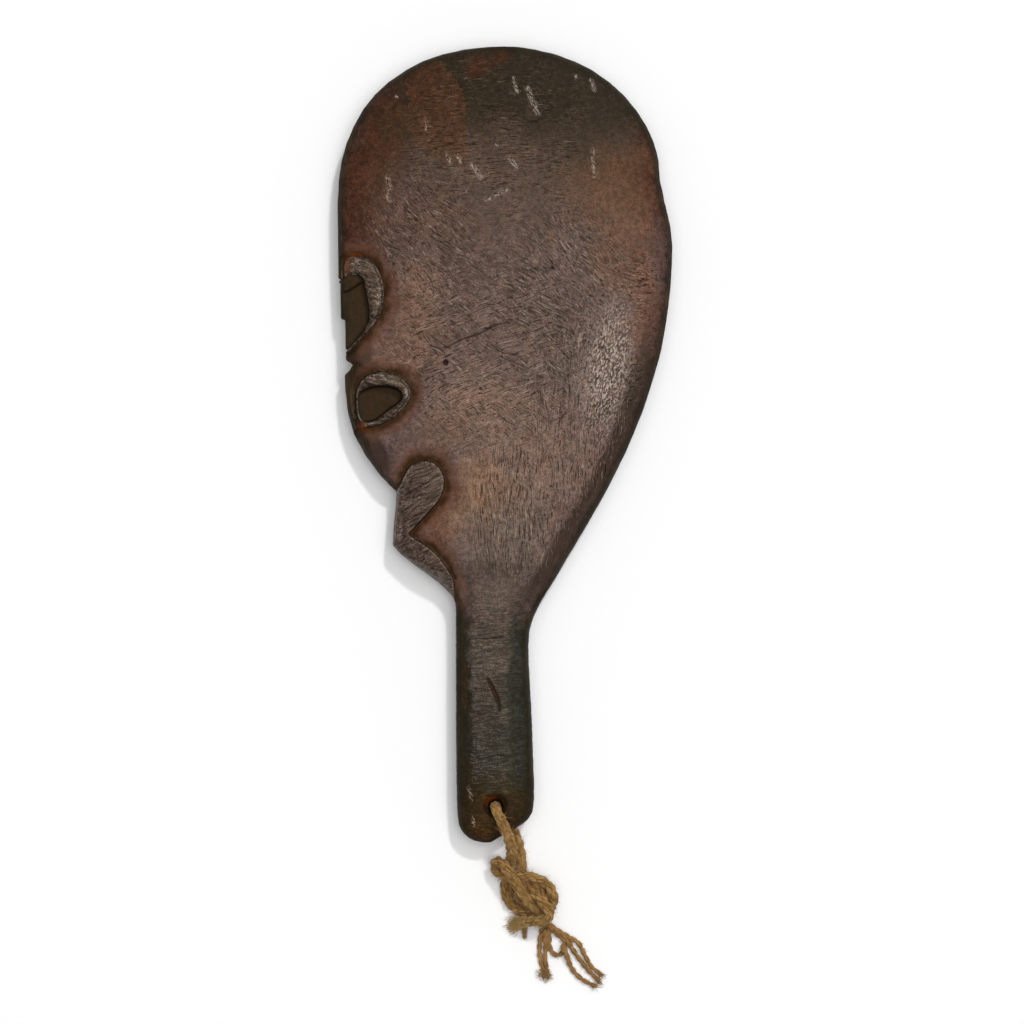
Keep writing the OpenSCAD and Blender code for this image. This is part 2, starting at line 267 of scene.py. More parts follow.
def rounded(outline):
    """A smooth curve through an outline's points, as three times as many points."""
    p = [np.array(point, float) for point in outline]
    return [tuple(point) for point in curved([p[0], *p, p[-1]], 3)]


def distance_to(line, x, y):
    """Distance from each point to a line of straight stretches."""
    best = np.full(len(x), 1e9)
    for (x0, y0), (x1, y1) in zip(line, line[1:]):
        dx, dy = x1 - x0, y1 - y0
        t = np.clip(((x - x0) * dx + (y - y0) * dy) / (dx * dx + dy * dy), 0, 1)
        best = np.minimum(best, np.hypot(x - x0 - t * dx, y - y0 - t * dy))
    return best


def inside(outline, x, y):
    """True where a point lies in a closed outline."""
    odd = np.zeros(len(x), bool)
    for (x0, y0), (x1, y1) in zip(outline, outline[1:] + outline[:1]):
        if y0 != y1:
            odd ^= ((y0 > y) != (y1 > y)) & (x < (x1 - x0) * (y - y0) / (y1 - y0) + x0)
    return odd


def depth_in(outline, x, y):
    """Distance inside a closed outline, negative outside it."""
    edge = distance_to(outline + outline[:1], x, y)
    return np.where(inside(outline, x, y), edge, -edge)


def spot(x, y, middle, half, turn=0.0, edge=0.45):
    """1 well inside a tilted ellipse and 0 well outside it; edge is how soft its rim is."""
    a = math.radians(turn)
    dx, dy = x - middle[0], y - middle[1]
    across = dx * math.cos(a) + dy * math.sin(a)
    along = dy * math.cos(a) - dx * math.sin(a)
    return ramp(np.hypot(across / half[0], along / half[1]), 1 + edge, 1 - edge)


def from_hole(x, y):
    """Distance from the cord hole's axis."""
    return np.hypot(x - HOLE_AT[0], y - HOLE_AT[1])


def on_front(z):
    """1 on the wood's front half and 0 behind it."""
    return ramp(z, MID_Z - 1, MID_Z + 2)


# ---- The wood's shape ----

WOOD_VOXEL = 0.0005
WOOD_TRIANGLES = 190000
GRIP_MIDDLE = -5.2  # x of the handle's middle line
BORE_R = 4.3  # just outside the cord hole's wall
BORE_HALF = 6  # half the length of its narrower part
BORE_NARROWING = 0.27  # how much narrower it is halfway through


def applied(thing):
    """The object's mesh with its modifiers carried out, put back on the object."""
    graph = bpy.context.evaluated_depsgraph_get()
    made = bpy.data.meshes.new_from_object(thing.evaluated_get(graph))
    thing.modifiers.clear()
    thing.data = made
    return made


def points_of(mesh):
    flat = np.empty(len(mesh.vertices) * 3)
    mesh.vertices.foreach_get("co", flat)
    return flat.reshape(-1, 3)


def normals_of(mesh):
    flat = np.empty(len(mesh.vertices) * 3, np.float32)
    mesh.vertex_normals.foreach_get("vector", flat)
    return flat.reshape(-1, 3).astype(float)


def put_points(mesh, points):
    """Moves a mesh's points to places given in millimetres."""
    mesh.vertices.foreach_set("co", (points * MM).ravel())
    mesh.update()


def carvings(x, y):
    """Depth inside the two upper hooks' rails, the lobe and its band, and the pockets."""
    crescent = depth_in(rounded(CRESCENT_RAIL) + CRESCENT_BEYOND, x, y)
    ring = depth_in(rounded(RING_RAIL), x, y)
    lobe = depth_in(rounded(LOBE_RAIL) + rounded(BAND_RAIL) + LOBE_BEYOND, x, y)
    pockets = np.maximum(depth_in(CRESCENT_POCKET, x, y), depth_in(rounded(RING_POCKET), x, y))
    return np.maximum(crescent, ring), lobe, pockets


def from_edge(points):
    """About how far each point lies inside the club's outline seen from above, in millimetres."""
    x, y = points[:, 0], points[:, 1]
    row = (y - y.min()).astype(int)
    column = (x - x.min()).astype(int)
    left, right = np.full(row.max() + 1, 1e9), np.full(row.max() + 1, -1e9)
    top = np.full(column.max() + 1, -1e9)
    np.minimum.at(left, row, x)
    np.maximum.at(right, row, x)
    np.maximum.at(top, column, y)
    return np.minimum(np.minimum(x - left[row], right[row] - x), top[column] - y)


def soften(wood, carved):
    """Takes the flat strips out of the broad faces, and rounds every carved edge a little."""
    group = wood.vertex_groups.new(name="broad")
    normals = normals_of(wood.data)
    points = points_of(wood.data) / MM
    away = ramp(carved, -10, -14) * ramp(np.abs(normals[:, 2]), 0.3, 0.6)
    away = away * ramp(from_hole(points[:, 0], points[:, 1]), 7, 9)
    levels = np.round(away * 5).astype(int)
    for level in range(1, 6):
        group.add(np.where(levels == level)[0].tolist(), level / 5, "REPLACE")
    for where, times in (("broad", 45), ("", 2)):
        smooth = wood.modifiers.new("smooth", "SMOOTH")
        smooth.factor = 0.5
        smooth.iterations = times
        smooth.vertex_group = where
    applied(wood)
    wood.vertex_groups.clear()


def shave(points, middle, tilt, reach, from_y):
    """Planes a long flat facet on the handle, tilted about its length by tilt degrees."""
    east, up = math.sin(math.radians(tilt)), math.cos(math.radians(tilt))
    height = points[:, 2] - MID_Z
    over = (points[:, 0] - middle) * east + np.abs(height) * up - reach
    soft = 0.25
    cut = np.log1p(np.exp(np.clip(over / soft, -30, 30))) * soft
    cut = cut * ramp(points[:, 1], from_y + 14, from_y - 10)
    cut = cut * ramp(points[:, 1], -181, -172)
    points[:, 0] -= cut * east
    points[:, 2] -= cut * up * np.sign(height)


GOUGES = [  # cuts and cracks, as [line, half width, depth]
    ([(-8.6, -111), (-6.4, -115.5), (-4, -120.5), (-2.8, -125), (-2.4, -128)], 1.4, 0.8),
    ([(-32.4, 45.4), (-27, 46.6), (-21, 49.8), (-12, 52.8), (-4, 57), (4.8, 59)], 0.7, 0.4),
    ([(-57, 40.8), (-46, 42.6), (-33, 45.4)], 0.5, 0.2),
    ([(-6.7, 13.6), (4, 9.4), (14.9, 4.4)], 0.5, 0.25),
    ([(24.5, 8.9), (29, 15)], 0.7, 0.3),
    ([(-13, 70.8), (-4, 67.4), (5.8, 63)], 0.5, 0.2),
    ([(-41, 97), (-36, 88), (-33, 84)], 0.5, 0.2),
    ([(-12, 50), (0, 44.6), (11, 39.6)], 0.6, 0.2),
    ([(12, 112), (20, 106), (26, 103)], 0.5, 0.2),
    ([(-16.5, -92.4), (-9, -93), (0, -92.2)], 0.7, 0.3),
    ([(-17, -88.4), (-8, -87.8), (-2, -89)], 0.6, 0.25),
    ([(-9.5, -150), (-4, -148.4), (2.5, -149.4)], 0.6, 0.3),
    ([(-8.6, 47), (0, 43.4), (6, 42)], 0.6, 0.25),
    ([(-4, 42.4), (4, 39), (11, 36.4)], 0.6, 0.25),
    ([(-15, -139), (-8, -138), (-1, -139.4)], 0.5, 0.2),
]
PITS = [  # small holes, as [middle, radius, depth]
    ((22.6, 84.2), 1.0, 1.0), ((-28.2, 39), 1.6, 1.3), ((-11.6, 26.6), 0.9, 0.9), ((-3, 14), 0.7, 0.4),
    ((22, -20), 0.9, 0.5), ((19, -34), 0.8, 0.4),
]
NICKS = [  # pale bruises, as [start, end, half width]
    ((4, 175), (6, 168), 1.0), ((11, 170), (15.4, 158), 1.5), ((33.8, 176.4), (34.4, 175.6), 1.0),
    ((41.2, 174.3), (42.9, 169.3), 1.2), ((-37.7, 156), (-37.6, 149.5), 0.6),
    ((-52.2, 166.5), (-51.6, 166), 0.8), ((-27.8, 138), (-26, 134.6), 1.0),
    ((-22.8, 138), (-21, 134.6), 1.0), ((-15.4, 133), (-11.3, 127.2), 1.3),
    ((2.4, 136.3), (5.7, 132.2), 1.4), ((-56, 126.5), (-55, 122), 1.6), ((-55.8, 119), (-55, 116.4), 1.2),
    ((-4.7, 142.9), (-3.8, 142.4), 0.9), ((-9.6, 116), (2.4, 121.8), 0.7),
    ((41.6, 141.3), (42.5, 128), 0.9), ((-17.4, -164), (-15.8, -170), 0.8),
    ((-15.4, -178), (-14.8, -182.6), 0.8),
]
GLEAMS = [  # painted highlight spots on the ridges, as [middle, half size, turn if any]
    ((-71.4, 84), (2.4, 4.2)), ((-60.4, 72), (1.6, 6)), ((-62.4, 57.5), (1.6, 3.4), -40),
    ((-70.2, 17), (0.7, 5.5)), ((-64.6, 9.8), (2.4, 1.2), 10), ((-61, 32.4), (5, 1.2)),
    ((-47, 24), (1.4, 3)), ((-50.4, -42), (1.6, 3)), ((-52.2, -24), (1.2, 14), -8),
]
ORANGE_GLINTS = [  # painted orange glints beside the ridges' left ends, as [middle, half size, turn if any]
    ((-75.3, 85.8), (1.4, 5)), ((-71.5, 90.5), (3.6, 1.4), 8), ((-67.6, 8.4), (2.6, 2.2)),
]


def nick_marks(x, y):
    """1 in the middle of each pale bruise."""
    total = np.zeros(len(x))
    for start, end, half in NICKS:
        total = np.maximum(total, ramp(distance_to([start, end], x, y), 1.2 * half, 0.3 * half))
    return total


def gouge_depth(x, y):
    """How deep the cuts, cracks and pits are at each point."""
    total = np.zeros(len(x))
    for line, half, depth in GOUGES:
        (x0, y0), (x1, y1) = line[0], line[-1]
        along = ((x - x0) * (x1 - x0) + (y - y0) * (y1 - y0)) / math.dist(line[0], line[-1]) ** 2
        spindle = np.clip(4 * along * (1 - along), 0, 1) ** 0.5
        total += depth * spindle * ramp(distance_to(line, x, y), half, 0)
    for middle, radius, depth in PITS:
        total += depth * ramp(np.hypot(x - middle[0], y - middle[1]), radius, 0.3 * radius)
    return total


def unevenness(points, normals):
    """How far each point is raised: tool marks, ripple across the ridges, gouges and pits."""
    x, y, z = points.T
    rails, lobe, pockets = carvings(x, y)
    ridge = ramp(np.maximum(rails, lobe), 0, 0.8) * ramp(pockets, 0.3, -0.3)
    from_rim = np.minimum(rails, -pockets)
    rounding = ramp(from_rim, 2.6, 0) * ramp(from_rim, -0.4, 0.2)
    flat_face = ramp(np.abs(normals[:, 2]), 0.5, 0.8)
    handle = ramp(y, -62, -80)

    lift = 0.20 * lumps(points, 24, 1) + 0.07 * lumps(points, 8, 2)
    lift += 0.16 * lumps(points, (14, 14, 30), 3) * (1 - flat_face)
    lift += 0.05 * lumps(points, 2.2, 4) + 0.07 * lumps(points, 4.5, 10)
    wrinkle = lumps(points, (9, 1.5, 9), 5) + 0.7 * lumps(points, (5, 0.9, 5), 6)
    lift += handle * ramp(y, -176, -168) * 0.1 * wrinkle
    slant = np.column_stack([x, y - 0.42 * x, z])
    ripple = lumps(slant, (7, 1.5, 30), 7) + 0.6 * lumps(slant, (4, 0.9, 30), 8)
    lift += ridge * flat_face * 0.16 * ripple - 0.9 * rounding
    bruise = nick_marks(x, y) * ramp(lumps(points, 0.9, 9), -0.2, 0.3)
    lift -= (gouge_depth(x, y) + 0.15 * bruise) * flat_face * (z > MID_Z)
    return lift * ramp(from_hole(x, y), 3.9, 6.5)


def narrow_bore(points):
    """The cord hole was bored from both faces, so it is narrowest halfway through."""
    out = points[:, :2] - HOLE_AT
    deep = np.clip(1 - ((points[:, 2] - MID_Z) / BORE_HALF) ** 2, 0, 1)
    inward = 1 - BORE_NARROWING * deep * (np.hypot(*out.T) < BORE_R)
    points[:, :2] = HOLE_AT + out * inward[:, None]


def weather(mesh):
    """Planes the grip, makes every surface uneven and narrows the cord hole."""
    points = points_of(mesh) / MM
    shave(points, GRIP_MIDDLE, tilt=0, reach=9.3, from_y=-66)
    shave(points, GRIP_MIDDLE, tilt=-37, reach=13.6, from_y=-70)
    shave(points, GRIP_MIDDLE, tilt=19, reach=11.2, from_y=-70)
    put_points(mesh, points)
    normals = normals_of(mesh)
    points += normals * unevenness(points, normals)[:, None]
    points[:, 2] = np.maximum(points[:, 2], 0)
    narrow_bore(points)
    put_points(mesh, points)


def carved_wood():
    """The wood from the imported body: remeshed finely, softened, weathered, thinned and painted."""
    wood = placed("club_wood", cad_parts["club_body"].data.copy())
    wood.data.materials.clear()
    remesh = wood.modifiers.new("fine", "REMESH")
    remesh.mode = "VOXEL"
    remesh.voxel_size = WOOD_VOXEL
    points = points_of(applied(wood)) / MM
    rails, lobe, _ = carvings(points[:, 0], points[:, 1])
    soften(wood, np.maximum(rails, lobe))
    weather(wood.data)
    thin = wood.modifiers.new("thin", "DECIMATE")
    thin.ratio = WOOD_TRIANGLES / (2 * len(wood.data.polygons))
    mesh = applied(wood)
    mesh.name = "club_wood"
    mesh.shade_smooth()
    paint_wood(mesh)
    mesh.materials.append(wood_material())
    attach(wood, "club")
    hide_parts("club_body")


# ---- The wood's colour ----

# Broad patches of tone on the face: [colour, strength, middle, half size, turn, rim softness].
PATCHES = [
    ("30281c", 0.85, (0, 178), (80, 24), 0, 0.5),  # dark tip
    ("332c22", 0.8, (34, 168), (46, 30), -30, 0.5),  # olive black at its right
    ("4c2f1e", 0.8, (-64, 126), (13, 44), -12, 0.45),  # red-brown band inside the left edge
    ("42301f", 0.7, (-54, 152), (9, 12), 0, 0.4),  # olive patch beside it
    ("4d2c1a", 0.6, (-9, 182), (9, 4), 10, 0.5),
    ("2a2517", 0.6, (-36, 184), (14, 6), 16, 0.5),
    ("5e3f2c", 0.75, (56, 124), (24, 22), -10, 0.6),  # red-brown at the right shoulder
    ("3d3128", 0.6, (40, 146), (26, 8), -6, 0.5),
    ("5a483f", 0.6, (-8, 104), (42, 40), 0, 0.7),
    ("6b4b38", 0.7, (58, 84), (15, 32), 0, 0.5),
    ("755a49", 0.75, (-42, 64), (14, 22), 0, 0.6),  # warm ground by the crescent
    ("60483c", 0.6, (-40, 110), (18, 14), 0, 0.6),
    ("67554e", 0.7, (24, 52), (42, 40), 30, 0.7),  # grey sheen of the middle
    # painted sheen at the right of the middle
    ("7b6a61", 0.7, (50, 44), (16, 26), -14, 0.6),
    ("7c6455", 0.7, (-14, 16), (24, 16), 0, 0.6),  # palest part
    ("6a5346", 0.6, (-30, 4), (12, 10), 0, 0.5),
    ("7c6558", 0.7, (14, -8), (30, 24), 0, 0.6),
    ("86684f", 0.7, (-12, -24), (12, 16), 0, 0.6),
    ("6c5d52", 0.7, (4, -44), (26, 14), 0, 0.6),
    ("594e45", 0.8, (-4, -64), (26, 14), 0, 0.6),  # shade where the handle starts
    ("7d5a47", 0.6, (68, 62), (10, 26), 0, 0.5),
    ("755a49", 0.7, (-54, 44), (18, 10), 0, 0.6),
    ("6e4e38", 0.7, (-30, -36), (8, 13), 0, 0.6),
    ("46362a", 0.8, (-36.7, 36.8), (1.6, 2.7), -20, 0.3),
]
STAIN = [  # a clear-edged reddish patch near the tip
    (-47, 176), (-40, 182), (-31, 184), (-25, 176), (-19.5, 168), (-18.6, 150), (-17.4, 131),
    (-24, 133.6), (-34, 137), (-43, 145), (-46, 160),
]
STAIN_TONE = colour("4f3522")
GROUND_TONE = colour("43301a")  # brown shade beside the ridges
WARM_GROUND = colour("6e4f3a")  # its lighter outer part
RAIL_TONE = colour("54473b")
LOBE_TONE = colour("5b4d42")
POCKET_TONE = colour("372916")
# dark of scratches and cuts, and of the painted shade lines beside the ridges
LINE_TONE = colour("1a120b")
PALE_WEAR_AND_HIGHLIGHT = colour("b9ac9b")  # pale bare wood of bruises and scratches, and painted highlights on crests
# painted orange glint beside the ridges' left ends
ORANGE_GLINT_TONE = colour("7e4518")
# painted shade on the club's outer edge
EDGE_SHADE_TONE = colour("282112")
# painted shade on the sloping bevel along the blade's lower edges
BEVEL_SHADE_TONE = colour("41352a")
SHINE = (0.015, 0.012, 0.006, 1)  # what the polish adds to the tones seen in the photo
DEPTH = (0.86, 0.82, 0.84, 1)  # and how much the light lifts them


def mixed(tone, other, amount):
    """A tone for each point, moved towards another by an amount from 0 to 1."""
    return tone + (other - tone) * np.clip(amount, 0, 1)[:, None]


def layered(code, count, layers):
    """A colour for each of count points: one colour, then others laid over it by their amounts."""
    tone = np.tile(linear(code), (count, 1))
    for other, amount in layers:
        tone = mixed(tone, linear(other), amount)
    return tone


def face_tone(points, x, y):
    """Broad tones of the carved face, before the carving and the edges."""
    warp = 5 * lumps(points, 11, 21) + 2.5 * lumps(points, 4, 22)
    return layered("46372c", len(x), [("63514a", ramp(y, 150, 70))] + [
        (code, strength * spot(x + warp, y + warp, *shape)) for code, strength, *shape in PATCHES])


def handle_tone(points, x, y, base):
    """The greasy dark grip: painted shade on its green-black right side and on its left side, so the middle
    facet is lighter, and a brown butt.
    """
    warp = 1.6 * lumps(points, (4, 5, 4), 31)
    grip = ramp(y + 4 * warp, -66, -92)
    tone = layered("524a40", len(x), [
        ("3c382f", ramp(y, -96, -140)),
        # painted shade on the grip's right facet
        ("31332a", 0.9 * ramp(x + warp, 0, 4.5)),
        # painted shade on the grip's left facet
        ("28240f", 0.9 * ramp(x + warp, -15, -19)),
        # painted reddish reflection on the left facet
        ("4a3512", 0.7 * spot(x, y, (-19.6, -115), (1.4, 12))),
        ("40250f", 0.6 * spot(x, y, (10.8, -86), (1.6, 8))),
        ("38290b", 0.9 * ramp(y + 3 * warp, -154, -168)),
        ("46320f", 0.6 * spot(x, y, (-12, -184), (8, 6))),
        ("6a3a10", 0.85 * spot(x, y, (-6.8, -170.4), (3.2, 2.2), 24, 0.6)),  # amber rim of the hole
        ("24170c", ramp(from_hole(x, y), 4.2, 3.6)),  # painted shade inside the hole
    ])
    return mixed(base, tone, grip)


def broad_tone(points):
    """The tone of each point of the wood, apart from its carvings and edges."""
    x, y, z = points.T
    back = layered("5a4335", len(x), [
        ("35281d", ramp(lumps(points, 40, 41), -0.2, 0.8)),
        ("6b5040", 0.6 * ramp(lumps(points, 17, 44), 0.1, 0.7)),
        ("352a20", ramp(y, -66, -90)),
    ])
    tone = handle_tone(points, x, y, face_tone(points, x, y))
    return mixed(back, tone, on_front(z))


def paint_wood(mesh):
    """Gives each point of the wood its broad tone, and says where each kind of mark shows."""
    points = points_of(mesh) / MM
    normals = normals_of(mesh)
    x, y, z = points.T
    rails, lobe, pockets = carvings(x, y)
    front = on_front(z)
    handle = ramp(y, -64, -84)
    flat = ramp(np.abs(normals[:, 2]), 0.8, 0.93)
    plain = (1 - handle) * ramp(np.maximum(rails, lobe), -1, -5) * flat
    facet = ramp(np.abs(x + 7.2), 9.5, 7.5) * handle * ramp(y, -172, -156)

    def either(*spots):
        return np.max([spot(x, y, *each) for each in spots], axis=0)

    give_numbers(mesh, {
        "rail_in": np.clip(rails, -12, 12),
        "lobe_in": np.clip(lobe, -12, 12),
        "pocket_in": np.clip(pockets, -12, 12),
        "stain_in": np.where(z > MID_Z, np.clip(depth_in(STAIN, x, y), -12, 12), -12),
        # reaches further in beside the ring, where the painted edge shade is wider
        "edge_in": np.clip(from_edge(points) - 2.5 * spot(x, y, (-72, 22), (12, 34)), 0, 24),
        "bevel": (1 - handle) * ramp(y, 90, 30) * ramp(lobe, -4, -12),
        "level_lines": plain * either([(-4, 146), (48, 40)], [(67, 54), (14, 44)]),
        "falling_lines": plain * either([(-40, 96), (26, 30)], [(30, 76), (32, 34)]),
        "rising_lines": plain * either([(-6, 44), (48, 46)]),
        "long_lines": plain * either([(38, 14), (26, 50)], [(6, -30), (24, 34)]),
        "sparkle": plain * front * either([(49, 36), (9, 27), -10, 0.7]),
        "ripples": plain * either([(64, 76), (6, 14)], [(62, 27), (6, 18)]),
        "handle": handle,
        "facet": facet * front,
        "shiny": ramp(y, 176, 120) * (1 - 0.5 * handle) * flat,
        "cut": ramp(gouge_depth(x, y) * front, 0.06, 0.25),
        "inner_cut": spot(x, y, (-5, -118), (1.1, 5), 26) * front,
        "nick": nick_marks(x, y) * front,
        "gleam": front * either(*GLEAMS),
        "orange_glint": front * either(*ORANGE_GLINTS),
    })
    rgba = np.column_stack([broad_tone(points), np.ones(len(x))]).astype(np.float32)
    layer = mesh.color_attributes.new("tone", "FLOAT_COLOR", "POINT")
    layer.data.foreach_set("color", rgba.ravel())


def give_numbers(mesh, named):
    """Stores a number for each point under each name, for the material to read."""
    for name, values in named.items():
        layer = mesh.attributes.new(name, "FLOAT", "POINT")
        layer.data.foreach_set("value", np.asarray(values, np.float32))


class Nodes:
    """The nodes of a new material or world; most calls add one and return its output."""

    def __init__(self, owner, shader="Principled BSDF"):
        owner.use_nodes = True
        self.owner = owner
        self.tree = owner.node_tree
        self.shader = self.tree.nodes[shader]

    def feed(self, socket, value):
        if isinstance(value, bpy.types.NodeSocket):
            self.tree.links.new(value, socket)
        else:
            socket.default_value = value

    def set(self, named):
        """Gives the shader's named inputs a value or a node's output each."""
        for name, value in named.items():
            self.feed(self.shader.inputs[name], value)

    def add(self, kind, sockets, output=0, **settings):
        node = self.tree.nodes.new(kind)
        for name, value in settings.items():
            setattr(node, name, value)
        for name, value in sockets.items():
            self.feed(node.inputs[name], value)
        return node.outputs[output]

    def attribute(self, name, output="Fac"):
        return self.add("ShaderNodeAttribute", {}, output, attribute_name=name)

    def place(self):
        """Where a point is on the object, in millimetres."""
        metres = self.add("ShaderNodeTexCoord", {}, "Object")
        return self.add("ShaderNodeVectorMath", {0: metres, "Scale": 1000.0}, operation="SCALE")

    def streaks(self, vector, turn, length, width, detail, roughness):
        """Noise drawn out into streaks at an angle, about so long and wide."""
        along = self.add("ShaderNodeMapping", {
            "Vector": vector, "Rotation": (0, 0, math.radians(turn)), "Scale": (length, width, width),
        }, vector_type="TEXTURE")
        return self.noise(along, 1.0, detail, roughness)

    def bent(self, vector, scale, reach):
        """The same place pushed about by up to half of reach, so that straight lines wander."""
        push = self.add("ShaderNodeTexNoise", {"Vector": vector, "Scale": scale, "Detail": 1.0}, 1)
        push = self.add("ShaderNodeVectorMath", {0: push, "Scale": reach}, operation="SCALE")
        return self.add("ShaderNodeVectorMath", {0: vector, 1: push}, operation="ADD")

    def noise(self, vector, scale=1.0, detail=3.0, roughness=0.5):
        return self.add("ShaderNodeTexNoise", {
            "Vector": vector, "Scale": scale, "Detail": detail, "Roughness": roughness})

    def math(self, operation, a, b=0.0):
        return self.add("ShaderNodeMath", {0: a, 1: b}, operation=operation)

    def times(self, a, b):
        return self.math("MULTIPLY", a, b)

    def plus(self, a, b):
        return self.math("ADD", a, b)

    def most(self, a, b):
        return self.math("MAXIMUM", a, b)

    def rise(self, value, low, high, to_low=0.0, to_high=1.0):
        """A smooth rise from to_low at low to to_high at high; high may be below low."""
        return self.add("ShaderNodeMapRange", {
            "Value": value, "From Min": low, "From Max": high, "To Min": to_low, "To Max": to_high,
        }, interpolation_type="SMOOTHSTEP")

    def mix(self, amount, a, b, blend="MIX"):
        return self.add("ShaderNodeMix", {0: amount, 6: a, 7: b}, 2, data_type="RGBA", blend_type=blend)

    def tinted(self, tone, by):
        """A tone multiplied by a number or by another tone."""
        return self.mix(1.0, tone, by, "MULTIPLY")

    def bump(self, height, distance):
        return self.add("ShaderNodeBump", {"Height": height, "Distance": distance, "Strength": 1.0})


def shade_of(n, tone, noise, dark, light, low=0.32, high=0.68):
    """Multiplies a tone by dark where a noise is low and by light where it is high."""
    return n.tinted(tone, n.rise(noise, low, high, dark, light))


def cross_grain(n, place, lobe):
    """Chatter across the ridges: it falls to the right on the rails and rises on the lobe."""
    bent = n.bent(place, 0.1, 4.0)
    falling = n.streaks(bent, -17, 9, 1.1, 3, 0.6)
    rising = n.streaks(bent, 24, 14, 1.1, 4, 0.65)
    return n.plus(n.times(falling, n.rise(lobe, 0.1, -0.1)), n.times(rising, n.rise(lobe, -0.1, 0.1)))


def ridge_tone(n, chatter, fine, inner, lobe):
    """The ridges' tone, the chatter painted as bands of light and shade, with painted shade along the
    rails' rims and a painted highlight along their middles.
    """
    tone = n.mix(n.rise(lobe, -0.1, 0.1), RAIL_TONE, LOBE_TONE)
    tone = shade_of(n, tone, chatter, 0.3, 1.45)
    tone = shade_of(n, tone, fine, 0.58, 1.42)
    # painted shade along the rails' rims, painted highlight along their middles
    shaded_rim = n.tinted(tone, n.rise(inner, 0, 2.2, 0.5, 1.25))
    return n.mix(n.rise(lobe, 0.1, -0.1), tone, shaded_rim)


def painted_highlights(n, chatter, speckle, fine, outer, inner, lobe):
    """Painted highlights on the ridges: glints on the chatter of the crests, the gleam spots and the outer
    rims.
    """
    glint = n.times(n.rise(fine, 0.5, 0.62), n.rise(chatter, 0.53, 0.64))
    crown = n.most(n.rise(inner, 0.6, 2.2), n.rise(lobe, -0.1, 0.1, 0.0, 0.5))
    gleam = n.times(n.attribute("gleam"), n.rise(fine, 0.46, 0.58))
    gleam = n.times(gleam, n.rise(chatter, 0.42, 0.56, 0.15, 1.0))
    rim = n.times(n.rise(outer, 0.1, 0.4), n.rise(outer, 1.3, 0.6))
    rim = n.times(rim, n.rise(speckle, 0.45, 0.6))
    return n.most(n.most(n.times(glint, crown), gleam), n.times(rim, 0.4))


def carved_tones(n, tone, place, speckle, fine):
    """Painted shade on the ground beside the ridges, the ridges with their painted highlights, pocket
    floors, and painted shade lines at the foot of the ridges and the pockets' lips.
    """
    rail, lobe, pocket = n.attribute("rail_in"), n.attribute("lobe_in"), n.attribute("pocket_in")
    outer = n.most(rail, lobe)
    inner = n.math("MINIMUM", rail, n.times(pocket, -1.0))
    ragged = n.plus(outer, n.rise(n.noise(place, 0.16, 3, 0.6), 0.3, 0.7, -1.6, 1.6))
    tone = n.mix(n.rise(ragged, -9, -3, 0, 0.6), tone, WARM_GROUND)
    tone = n.mix(n.rise(ragged, -4.8, -0.4, 0, 0.9), tone, GROUND_TONE)

    chatter = cross_grain(n, place, lobe)
    top = ridge_tone(n, chatter, fine, inner, lobe)
    pale = painted_highlights(n, chatter, speckle, fine, outer, inner, lobe)
    # painted highlights on the ridges
    top = n.mix(n.times(pale, 0.75), top, PALE_WEAR_AND_HIGHLIGHT)
    on_top = n.rise(outer, -0.12, 0.15)
    tone = n.mix(on_top, tone, top)

    in_pocket = n.rise(pocket, -0.15, 0.15)
    tone = n.mix(in_pocket, tone, shade_of(n, POCKET_TONE, speckle, 0.8, 1.25))
    # painted shade in the crease at the foot of each ridge and along the pockets' lips
    foot = n.times(n.rise(outer, -1.0, -0.2), n.rise(outer, 0.3, -0.05))
    foot = n.times(foot, n.rise(speckle, 0.4, 0.6, 0.15, 0.75))
    lip = n.times(n.rise(pocket, -0.5, 0), n.rise(pocket, 0.7, 0.1, 0, 0.85))
    tone = n.mix(n.most(foot, lip), tone, LINE_TONE)
    ridge = n.times(on_top, n.math("SUBTRACT", 1.0, in_pocket))
    return tone, ridge, in_pocket, chatter


SCRATCHES = [  # [where, angle, length, width, which patches, how pale beside how dark]
    ("level_lines", 3, 6, 0.45, 0, 0.4), ("falling_lines", -54, 5.5, 0.5, 0, 0.9),
    ("falling_lines", -28, 6, 0.55, 1, 0.9), ("rising_lines", 20, 6.5, 0.55, 0, 0.9),
    ("rising_lines", -38, 5, 0.55, 1, 0.9), ("long_lines", 84, 12, 0.55, 0, 0.9),
    ("long_lines", 97, 9, 0.55, 1, 0.9), ("ripples", -6, 5, 0.8, 2, 0.6),
]


def scratches(n, place):
    """How dark and how pale the fine scratches are at each point of the face."""
    swathe = n.noise(place, 0.09, 3, 0.6)
    patches = [n.rise(swathe, 0.4, 0.54, 0.12, 1.0), n.rise(swathe, 0.56, 0.44, 0.12, 1.0), 1.0]
    bent = n.bent(place, 0.1, 3.0)
    dark, pale = 0.0, 0.0
    for name, turn, length, width, which, paler in SCRATCHES:
        crest = n.streaks(bent, turn, length, width, 2, 0.5)
        zone = n.times(n.attribute(name), patches[which])
        dark = n.most(dark, n.times(n.rise(crest, 0.59, 0.64), zone))
        pale = n.most(pale, n.times(n.rise(crest, 0.37, 0.31, 0.0, paler), zone))
    return dark, pale


